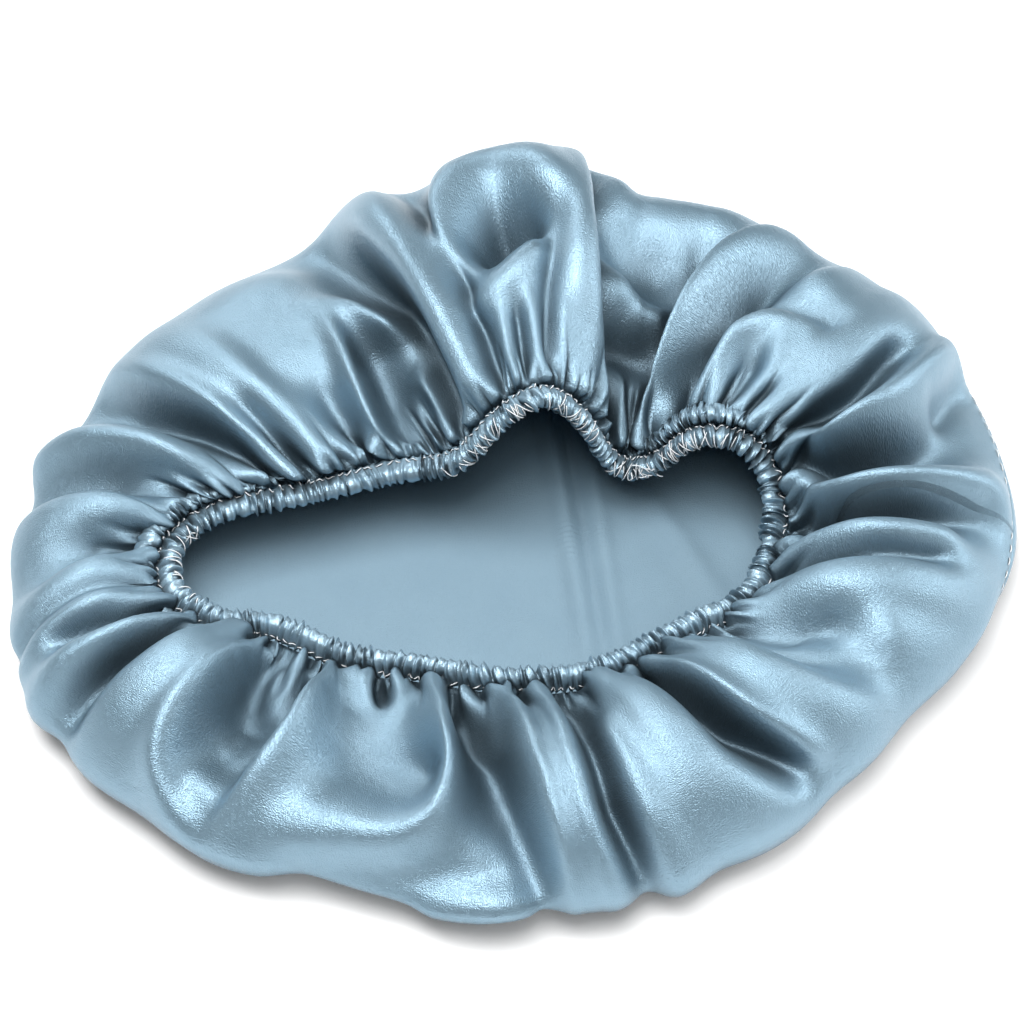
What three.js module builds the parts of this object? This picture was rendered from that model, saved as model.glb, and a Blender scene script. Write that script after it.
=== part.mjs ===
// A satin sleep bonnet lying on its crown, with its elasticated opening up. Millimetres, +Z up.
// The origin is on the table under the middle of the crown. +Y points away from the front edge.
//
// Four pieces: a round crown panel, a skirt panel that folds over the top in soft gathers, a ruched
// casing round the opening, and the flat elastic inside the casing.
import * as THREE from "three";

// Driving dimensions.
const CLOTH = 1.2; // wall of the crown and the skirt
const GAP = 0.4; // clearance between the skirt and the crown
const CASING_GAP = 1.2; // clearance between the skirt and the casing, more because both are ruched
const CASING_WIDTH = 9; // from the stitched side to the free edge
const CASING_DEPTH = 5.2;
const CASING_WALL = 1;
const CASING_SLIT = 0.8; // where the turned hem meets the skirt, along the stitching
const ELASTIC_WIDTH = 4.4;
const ELASTIC_THICKNESS = 1;
const RIM_HEIGHT = 13; // of the widest point of the bonnet above the table
const TUCK = 20; // how far the cloth turns in under the widest point before it lies flat
const CREST_AT = 0.42; // the fullest point's place between the casing and the rim
const SHOULDER_AT = 0.8;
const SHOULDER_HEIGHT = 0.8; // share of the crest's height
const GATHER_HEIGHT = 1.3; // of the small gathers that the casing makes in the skirt
const GATHER_REACH = 0.14; // share of the skirt over which they die out
const RUCHE_DEPTH = 0.12; // how much each ruche narrows the casing, as a share of its size

// How finely each piece is faceted.
const SKIRT_SEGMENTS = 104;
const SKIRT_ROWS = 10;
const CROWN_TURN_ROWS = 3;
const CROWN_RINGS = [0.5]; // of the flat floor, as shares of its radius
const RUCHES = 52; // one wide and one narrow section each

// The stations below are measured from a point this far from the middle of the outline.
const STATION_OFFSET = [0.5, -4.33, 0];

// Stations round the bonnet, from the right-hand side and counterclockwise seen from above.
//   casing    the middle of the casing, x, y, z
//   tilt      degrees that the casing's free edge stands above the horizontal
//   crest     height of the fullest point of the skirt
//   rim       the widest point of the bonnet, x, y
//   seam      share of the way from the casing to the table at which skirt and crown are sewn
const STATIONS = [
  { casing: [81, -11, 22], tilt: 15, crest: 38, rim: [160, -3], seam: 0.74 },
  { casing: [80, 10, 31], tilt: 5, crest: 42, rim: [156, 48], seam: 0.74 },
  { casing: [70, 17, 39], tilt: -10, crest: 50, rim: [136, 93], seam: 0.76 },
  { casing: [56, 20, 37], tilt: -20, crest: 52, rim: [103, 127], seam: 0.82 },
  { casing: [43, 20, 25], tilt: -20, crest: 45, rim: [68, 146], seam: 0.86 },
  { casing: [31, 22, 24], tilt: -15, crest: 46, rim: [40, 153], seam: 0.86 },
  { casing: [19, 23, 45], tilt: -10, crest: 74, rim: [18, 154], seam: 0.86 },
  { casing: [7, 20, 56], tilt: -15, crest: 76, rim: [-12, 152], seam: 0.86 },
  { casing: [-6, 15, 51], tilt: -20, crest: 68, rim: [-44, 145], seam: 0.86 },
  { casing: [-20, 11, 36], tilt: -20, crest: 48, rim: [-78, 129], seam: 0.86 },
  { casing: [-42, 11, 30], tilt: -20, crest: 44, rim: [-112, 104], seam: 0.86 },
  { casing: [-68, 4, 28], tilt: -15, crest: 40, rim: [-138, 68], seam: 0.86 },
  { casing: [-93, -3, 28], tilt: -5, crest: 36, rim: [-155, 26], seam: 0.86 },
  { casing: [-108, -15, 26], tilt: 5, crest: 34, rim: [-160, -14], seam: 0.86 },
  { casing: [-108, -35, 26], tilt: 10, crest: 34, rim: [-153, -54], seam: 0.86 },
  { casing: [-92, -48, 26], tilt: 25, crest: 35, rim: [-130, -93], seam: 0.86 },
  { casing: [-74, -51, 26], tilt: 35, crest: 36, rim: [-97, -119], seam: 0.86 },
  { casing: [-53, -61, 24], tilt: 40, crest: 36, rim: [-58, -137], seam: 0.86 },
  { casing: [-30, -67, 26], tilt: 45, crest: 37, rim: [-20, -147], seam: 0.86 },
  { casing: [-6, -73, 28], tilt: 45, crest: 38, rim: [12, -145], seam: 0.86 },
  { casing: [17, -73, 29], tilt: 45, crest: 38, rim: [42, -138], seam: 0.86 },
  { casing: [35, -64, 28], tilt: 40, crest: 38, rim: [78, -114], seam: 0.86 },
  { casing: [54, -50, 26], tilt: 35, crest: 38, rim: [112, -82], seam: 0.84 },
  { casing: [71, -36, 23], tilt: 25, crest: 37, rim: [143, -42], seam: 0.8 },
];

// The main folds of the skirt. Valleys have a negative height.
//   from, to  the station where the fold leaves the casing, and where it meets the rim
//   width     half of its width, in stations
//   height    at its fullest
//   lean      above 0, the side towards the next station is the steep one
const FOLDS = [
  { from: 0.1, to: 0.15, width: 0.45, height: 5, lean: 0 },
  { from: 0.65, to: 0.5, width: 0.5, height: -8, lean: 0 },
  { from: 1.0, to: 1.4, width: 0.5, height: 8, lean: 0 },
  { from: 1.8, to: 2.0, width: 0.6, height: 5, lean: 0 },
  { from: 3.4, to: 2.85, width: 0.5, height: -9, lean: 0 },
  { from: 3.9, to: 3.2, width: 0.5, height: 10, lean: 0.3 },
  { from: 4.3, to: 4.0, width: 0.5, height: -8, lean: 0 },
  { from: 5.4, to: 5.6, width: 0.6, height: -11, lean: 0.3 },
  { from: 5.9, to: 6.05, width: 0.5, height: 8, lean: -0.3 },
  { from: 7.2, to: 7.2, width: 0.7, height: -6, lean: 0 },
  { from: 7.75, to: 7.9, width: 0.4, height: -7, lean: 0 },
  { from: 8.2, to: 8.45, width: 0.5, height: 9, lean: 0 },
  { from: 8.65, to: 8.95, width: 0.5, height: -10, lean: 0 },
  { from: 9.3, to: 9.5, width: 0.45, height: 5, lean: 0 },
  { from: 10.2, to: 10.2, width: 0.5, height: -4, lean: 0 },
  { from: 10.6, to: 10.7, width: 0.5, height: 6, lean: 0 },
  { from: 11.25, to: 11.4, width: 0.4, height: -8, lean: 0 },
  { from: 11.75, to: 12.0, width: 0.45, height: 7, lean: 0 },
  { from: 12.4, to: 12.45, width: 0.4, height: -6, lean: 0 },
  { from: 12.75, to: 12.8, width: 0.45, height: 5, lean: 0 },
  { from: 13.2, to: 13.4, width: 0.45, height: -6, lean: 0 },
  { from: 14.0, to: 14.1, width: 0.45, height: 4, lean: 0 },
  { from: 14.75, to: 14.45, width: 0.5, height: 7, lean: 0.3 },
  { from: 15.05, to: 14.8, width: 0.4, height: -7, lean: 0 },
  { from: 15.6, to: 15.5, width: 0.6, height: 8, lean: 0 },
  { from: 16.15, to: 16.1, width: 0.5, height: -11, lean: 0.3 },
  { from: 17.0, to: 16.5, width: 0.5, height: 9, lean: -0.3 },
  { from: 17.5, to: 17.6, width: 0.5, height: -6, lean: 0 },
  { from: 18.1, to: 18.1, width: 0.4, height: 5, lean: 0 },
  { from: 18.5, to: 18.7, width: 0.45, height: -10, lean: 0 },
  { from: 19.2, to: 19.3, width: 0.5, height: 9, lean: 0 },
  { from: 19.75, to: 19.75, width: 0.4, height: -9, lean: 0 },
  { from: 20.35, to: 20.6, width: 0.6, height: 8, lean: 0 },
  { from: 20.9, to: 21.15, width: 0.45, height: -10, lean: 0 },
  { from: 21.3, to: 21.6, width: 0.5, height: 8, lean: 0 },
  { from: 21.8, to: 21.85, width: 0.4, height: -7, lean: 0 },
  { from: 22.5, to: 22.5, width: 0.6, height: 6, lean: 0 },
  { from: 23.5, to: 23.5, width: 0.5, height: 7, lean: 0 },
  { from: 23.85, to: 23.9, width: 0.4, height: -8, lean: 0 },
];

const UP = new THREE.Vector3(0, 0, 1);
const COUNT = STATIONS.length;

// Closed smooth curves through a column of the table; each takes a place in stations.
function column(read) {
  const points = STATIONS.map((row) => new THREE.Vector3(...read(row)));
  const curve = new THREE.CatmullRomCurve3(points, true, "catmullrom", 0.5);
  return (place) => curve.getPoint(THREE.MathUtils.euclideanModulo(place / COUNT, 1));
}
const casingAt = column((row) => row.casing);
const rimAt = column((row) => [...row.rim, RIM_HEIGHT]);
const formAt = column((row) => [row.crest, row.seam, row.tilt]);

// The directions of the casing at a station: along it, across it to its free edge, and through it.
function casingFrame(place) {
  const step = 0.02;
  const along = casingAt(place + step).sub(casingAt(place - step)).normalize();
  const inward = casingAt(place).sub(rimAt(place)).setZ(0).normalize();
  const tilt = THREE.MathUtils.degToRad(formAt(place).z);
  const across = inward.multiplyScalar(Math.cos(tilt)).addScaledVector(UP, Math.sin(tilt));
  across.addScaledVector(along, -across.dot(along)).normalize();
  const through = new THREE.Vector3().crossVectors(along, across).normalize();
  return { along, across, through };
}

// The smooth outer line of the bonnet at a station, from the casing over the crest to the table.
function profileAt(place) {
  const { across } = casingFrame(place);
  const start = casingAt(place).addScaledVector(across, -(CASING_WIDTH / 2 + CASING_GAP));
  const rim = rimAt(place);
  const crestHeight = formAt(place).x;
  const outward = rim.clone().sub(start).setZ(0).normalize();
  const crest = start.clone().lerp(rim, CREST_AT).setZ(crestHeight);
  const shoulder = start.clone().lerp(rim, SHOULDER_AT).setZ(crestHeight * SHOULDER_HEIGHT);
  const table = rim.clone().addScaledVector(outward, -TUCK).setZ(0);
  return new THREE.CatmullRomCurve3([start, crest, shoulder, rim, table], false, "centripetal");
}

// How far the folds lift the cloth at a station and a share of the way down the profile.
function foldLift(place, share) {
  const swell = THREE.MathUtils.smoothstep(share, 0, 0.3);
  const settle = 1 - THREE.MathUtils.smoothstep(share, 0.45, 0.92);
  let lift = 0;
  for (const fold of FOLDS) {
    const centre = THREE.MathUtils.lerp(fold.from, fold.to, share);
    let away = THREE.MathUtils.euclideanModulo(place - centre + COUNT / 2, COUNT) - COUNT / 2;
    away /= fold.width * (away > 0 ? 1 - fold.lean : 1 + fold.lean);
    if (Math.abs(away) < 1) lift += fold.height * Math.cos((away * Math.PI) / 2) ** 2;
  }
  return lift * swell * settle;
}

// The small gathers beside the casing: every second segment stands up.
function gatherLift(segment, share) {
  const fade = 1 - THREE.MathUtils.smoothstep(share, 0, GATHER_REACH);
  return (segment % 2 ? GATHER_HEIGHT : 0) * fade;
}

// A point of the bonnet's outer surface.
function surfacePoint(segment, share) {
  const place = (segment / SKIRT_SEGMENTS) * COUNT;
  const profile = profileAt(place);
  const point = profile.getPointAt(share);
  const tangent = profile.getTangentAt(share);
  const level = tangent.clone().setZ(0).length();
  const outward = rimAt(place).sub(casingAt(place)).setZ(0).normalize();
  const headsOut = Math.sign(tangent.dot(outward)) || 1;
  const normal = outward.multiplyScalar(-tangent.z).addScaledVector(UP, level * headsOut);
  return point.addScaledVector(normal, foldLift(place, share) + gatherLift(segment, share));
}

// The same point on the inner face, one wall behind it.
function innerPoint(segment, share) {
  const step = 0.01;
  const round = surfacePoint(segment + 1, share).sub(surfacePoint(segment - 1, share));
  const before = surfacePoint(segment, Math.max(share - step, 0));
  const down = surfacePoint(segment, Math.min(share + step, 1)).sub(before);
  const normal = down.cross(round).normalize();
  return surfacePoint(segment, share).addScaledVector(normal, -CLOTH);
}

// Lines of points down each segment of the bonnet, on the outer face and on the inner one.
function wallLines(sharesOf) {
  const lines = Array.from({ length: SKIRT_SEGMENTS }, (_, segment) => sharesOf(segment));
  return {
    outer: lines.map((shares, segment) => shares.map((share) => surfacePoint(segment, share))),
    inner: lines.map((shares, segment) => shares.map((share) => innerPoint(segment, share))),
  };
}

// Triangles between closed sections that follow each other round a ring.
function ringGeometry(sections) {
  const size = sections[0].length;
  const index = [];
  sections.forEach((_, s) => {
    const next = (s + 1) % sections.length;
    for (let p = 0; p < size; p++) {
      const q = (p + 1) % size;
      const [a, b, c, d] = [s * size + p, next * size + p, next * size + q, s * size + q];
      index.push(a, c, b, a, d, c);
    }
  });
  return indexedGeometry(sections.flat(), index);
}

function indexedGeometry(points, index) {
  const geometry = new THREE.BufferGeometry().setFromPoints(points);
  geometry.setIndex(index);
  geometry.computeVertexNormals();
  return geometry;
}

function seamShare(segment) {
  return formAt((segment / SKIRT_SEGMENTS) * COUNT).y;
}

function skirtGeometry() {
  const shares = (segment) =>
    Array.from({ length: SKIRT_ROWS }, (_, row) => {
      const along = row / (SKIRT_ROWS - 1);
      return seamShare(segment) * (0.55 * along + 0.45 * along ** 2); // closer together near the casing
    });
  const { outer, inner } = wallLines(shares);
  return ringGeometry(outer.map((line, s) => [...line, ...inner[s].toReversed()]));
}

// The crown: its edge turns up from the table to the seam, and its floor is flat.
function crownGeometry() {
  const shares = (segment) => {
    const place = (segment / SKIRT_SEGMENTS) * COUNT;
    const first = seamShare(segment) + GAP / profileAt(place).getLength();
    return Array.from({ length: CROWN_TURN_ROWS + 1 }, (_, row) =>
      THREE.MathUtils.lerp(first, 1, row / CROWN_TURN_ROWS),
    );
  };
  const { outer, inner } = wallLines(shares);
  const under = outer.map((line) => {
    const edge = line.at(-1).setZ(0);
    return [...line, ...CROWN_RINGS.map((size) => edge.clone().multiplyScalar(size))];
  });
  const above = inner.map((line, s) => {
    line.at(-1).copy(under[s][CROWN_TURN_ROWS]).setZ(CLOTH);
    const rings = under[s].slice(CROWN_TURN_ROWS + 1).map((point) => point.clone().setZ(CLOTH));
    return [...line, ...rings];
  });
  const rows = under[0].length;
  const points = [...under.flat(), ...above.flat()];
  const half = SKIRT_SEGMENTS * rows;
  const middle = points.push(new THREE.Vector3(), new THREE.Vector3(0, 0, CLOTH)) - 2;
  const index = [];
  for (let s = 0; s < SKIRT_SEGMENTS; s++) {
    const here = s * rows;
    const next = ((s + 1) % SKIRT_SEGMENTS) * rows;
    for (let r = 0; r < rows - 1; r++) {
      const [a, b, c, d] = [here + r, here + r + 1, next + r + 1, next + r];
      index.push(a, b, c, a, c, d);
      index.push(half + a, half + c, half + b, half + a, half + d, half + c);
    }
    index.push(here, half + next, half + here, here, next, half + next);
    const last = rows - 1;
    index.push(here + last, middle, next + last);
    index.push(half + next + last, middle + 1, half + here + last);
  }
  return indexedGeometry(points, index);
}

// The casing's section: a flattened ring, open along the stitched side.
const CASING_OUTLINE_POINTS = 7;
function casingSection(place, narrow) {
  const { across, through } = casingFrame(place);
  const size = narrow ? 1 - RUCHE_DEPTH : 1;
  const halfSlit = Math.asin(CASING_SLIT / CASING_DEPTH);
  const face = (wall) =>
    Array.from({ length: CASING_OUTLINE_POINTS }, (_, i) => {
      const sweep = i / (CASING_OUTLINE_POINTS - 1);
      const turn = Math.PI + THREE.MathUtils.lerp(halfSlit, 2 * Math.PI - halfSlit, sweep);
      return casingAt(place)
        .addScaledVector(across, (CASING_WIDTH / 2 - wall) * Math.cos(turn) * size)
        .addScaledVector(through, (CASING_DEPTH / 2 - wall) * Math.sin(turn) * size);
    });
  return [...face(0), ...face(CASING_WALL).toReversed()];
}

function casingGeometry() {
  const sections = Array.from({ length: 2 * RUCHES }, (_, s) =>
    casingSection((s / (2 * RUCHES)) * COUNT, s % 2 === 1),
  );
  return ringGeometry(sections);
}

function elasticGeometry() {
  const corners = [
    [-1, -1],
    [1, -1],
    [1, 1],
    [-1, 1],
  ];
  const sections = Array.from({ length: 2 * RUCHES }, (_, s) => {
    const place = (s / (2 * RUCHES)) * COUNT;
    const { across, through } = casingFrame(place);
    return corners.map(([a, t]) =>
      casingAt(place)
        .addScaledVector(across, (a * ELASTIC_WIDTH) / 2)
        .addScaledVector(through, (t * ELASTIC_THICKNESS) / 2),
    );
  });
  return ringGeometry(sections);
}

function piece(name, geometry, colour, roughness) {
  const material = new THREE.MeshStandardMaterial({ color: colour, roughness, metalness: 0 });
  const mesh = new THREE.Mesh(geometry, material);
  mesh.name = name;
  return mesh;
}

const SATIN_BLUE = 0x7c98ab;
const SATIN_REVERSE = 0x98b4c9;
const ELASTIC_WHITE = 0xe6e8ea;

const bonnet = new THREE.Group();
bonnet.position.set(...STATION_OFFSET);
bonnet.add(piece("crown_panel", crownGeometry(), SATIN_REVERSE, 0.7));
bonnet.add(piece("skirt_panel", skirtGeometry(), SATIN_BLUE, 0.35));
bonnet.add(piece("elastic_casing", casingGeometry(), SATIN_BLUE, 0.4));
bonnet.add(piece("elastic_band", elasticGeometry(), ELASTIC_WHITE, 0.8));

export default bonnet;
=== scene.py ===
import math

import bpy
import numpy as np
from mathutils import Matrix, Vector


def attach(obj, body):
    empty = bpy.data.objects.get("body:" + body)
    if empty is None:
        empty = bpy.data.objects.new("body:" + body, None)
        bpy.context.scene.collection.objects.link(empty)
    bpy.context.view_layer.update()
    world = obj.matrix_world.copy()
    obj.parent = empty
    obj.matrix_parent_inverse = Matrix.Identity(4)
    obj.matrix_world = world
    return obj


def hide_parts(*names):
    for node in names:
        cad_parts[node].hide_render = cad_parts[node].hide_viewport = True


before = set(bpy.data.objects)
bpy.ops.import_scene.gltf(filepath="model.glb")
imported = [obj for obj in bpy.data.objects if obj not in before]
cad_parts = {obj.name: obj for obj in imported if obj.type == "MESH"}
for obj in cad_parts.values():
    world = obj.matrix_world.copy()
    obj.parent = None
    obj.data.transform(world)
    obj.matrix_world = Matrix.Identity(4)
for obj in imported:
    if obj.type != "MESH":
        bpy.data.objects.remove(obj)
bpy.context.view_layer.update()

# A satin sleep bonnet lying on its crown with its opening up. Shapes are worked out in millimetres in the
# frame's axes and turned into metres as each mesh is made.
MM = 0.001
UP = np.array([0.0, 0.0, 1.0])

# ---------------------------------------------------------------------------------------- dimensions
CASING_WIDTH = 8.0  # from the stitched side to the free edge
CASING_DEPTH = 5.0
CASING_GAP = 0.2  # between the casing and the skirt's first row
RIM_HEIGHT = 13.0  # of the widest point of the bonnet above the table
TUCK = 20.0  # how far the cloth turns in under the widest point before it lies flat
CREST_AT = 0.42  # the fullest point's place between the casing and the rim
SHOULDER_AT = 0.8
SHOULDER_HEIGHT = 0.8  # share of the crest's height
CLOTH = 0.45  # satin, with its hems pressed flat
SKIRT_LENGTH = 980  # of the skirt's flat strip, along the seam round the crown
SKIRT_WIDTH = 118  # of the flat strip, from the casing to the seam
FLOOR_GAP = 0.6  # keeps the cloth's underside off the table
STATION_OFFSET = np.array([0.5, -4.33, 0.0])  # from the stations' origin to the frame's

AROUND = 880  # columns of the skirt's grid
DOWN = 54  # rows from the casing to the seam
CROWN_ROWS = 14  # from the seam down to the table

# Stations round the bonnet, from the right-hand side and counterclockwise seen from above.
# casing x, y, z | tilt of the casing | crest height | rim x, y | the seam's share of the profile
STATIONS = np.array([
    (81, -11, 22, 15, 38, 160, -3, 0.74),
    (80, 10, 31, 5, 42, 156, 48, 0.74),
    (70, 17, 39, -10, 50, 136, 93, 0.76),
    (56, 20, 37, -20, 52, 103, 127, 0.82),
    (43, 20, 25, -20, 45, 68, 146, 0.86),
    (31, 22, 24, -15, 46, 40, 153, 0.86),
    (19, 23, 45, -10, 74, 18, 154, 0.86),
    (7, 20, 56, -15, 76, -12, 152, 0.86),
    (-6, 15, 51, -20, 68, -44, 145, 0.86),
    (-20, 11, 36, -20, 48, -78, 129, 0.86),
    (-42, 11, 30, -20, 44, -112, 104, 0.86),
    (-68, 4, 28, -15, 40, -138, 68, 0.86),
    (-93, -3, 28, -5, 36, -155, 26, 0.86),
    (-108, -15, 26, 5, 34, -160, -14, 0.86),
    (-108, -35, 26, 10, 34, -153, -54, 0.86),
    (-92, -48, 26, 25, 35, -130, -93, 0.86),
    (-74, -51, 26, 35, 36, -97, -119, 0.86),
    (-53, -61, 24, 40, 36, -58, -137, 0.86),
    (-30, -67, 26, 45, 37, -20, -147, 0.86),
    (-6, -73, 28, 45, 38, 12, -145, 0.86),
    (17, -73, 29, 45, 38, 42, -138, 0.86),
    (35, -64, 28, 40, 38, 78, -114, 0.86),
    (54, -50, 26, 35, 38, 112, -82, 0.84),
    (71, -36, 23, 25, 37, 143, -42, 0.8),
], float)
COUNT = len(STATIONS)

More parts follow.
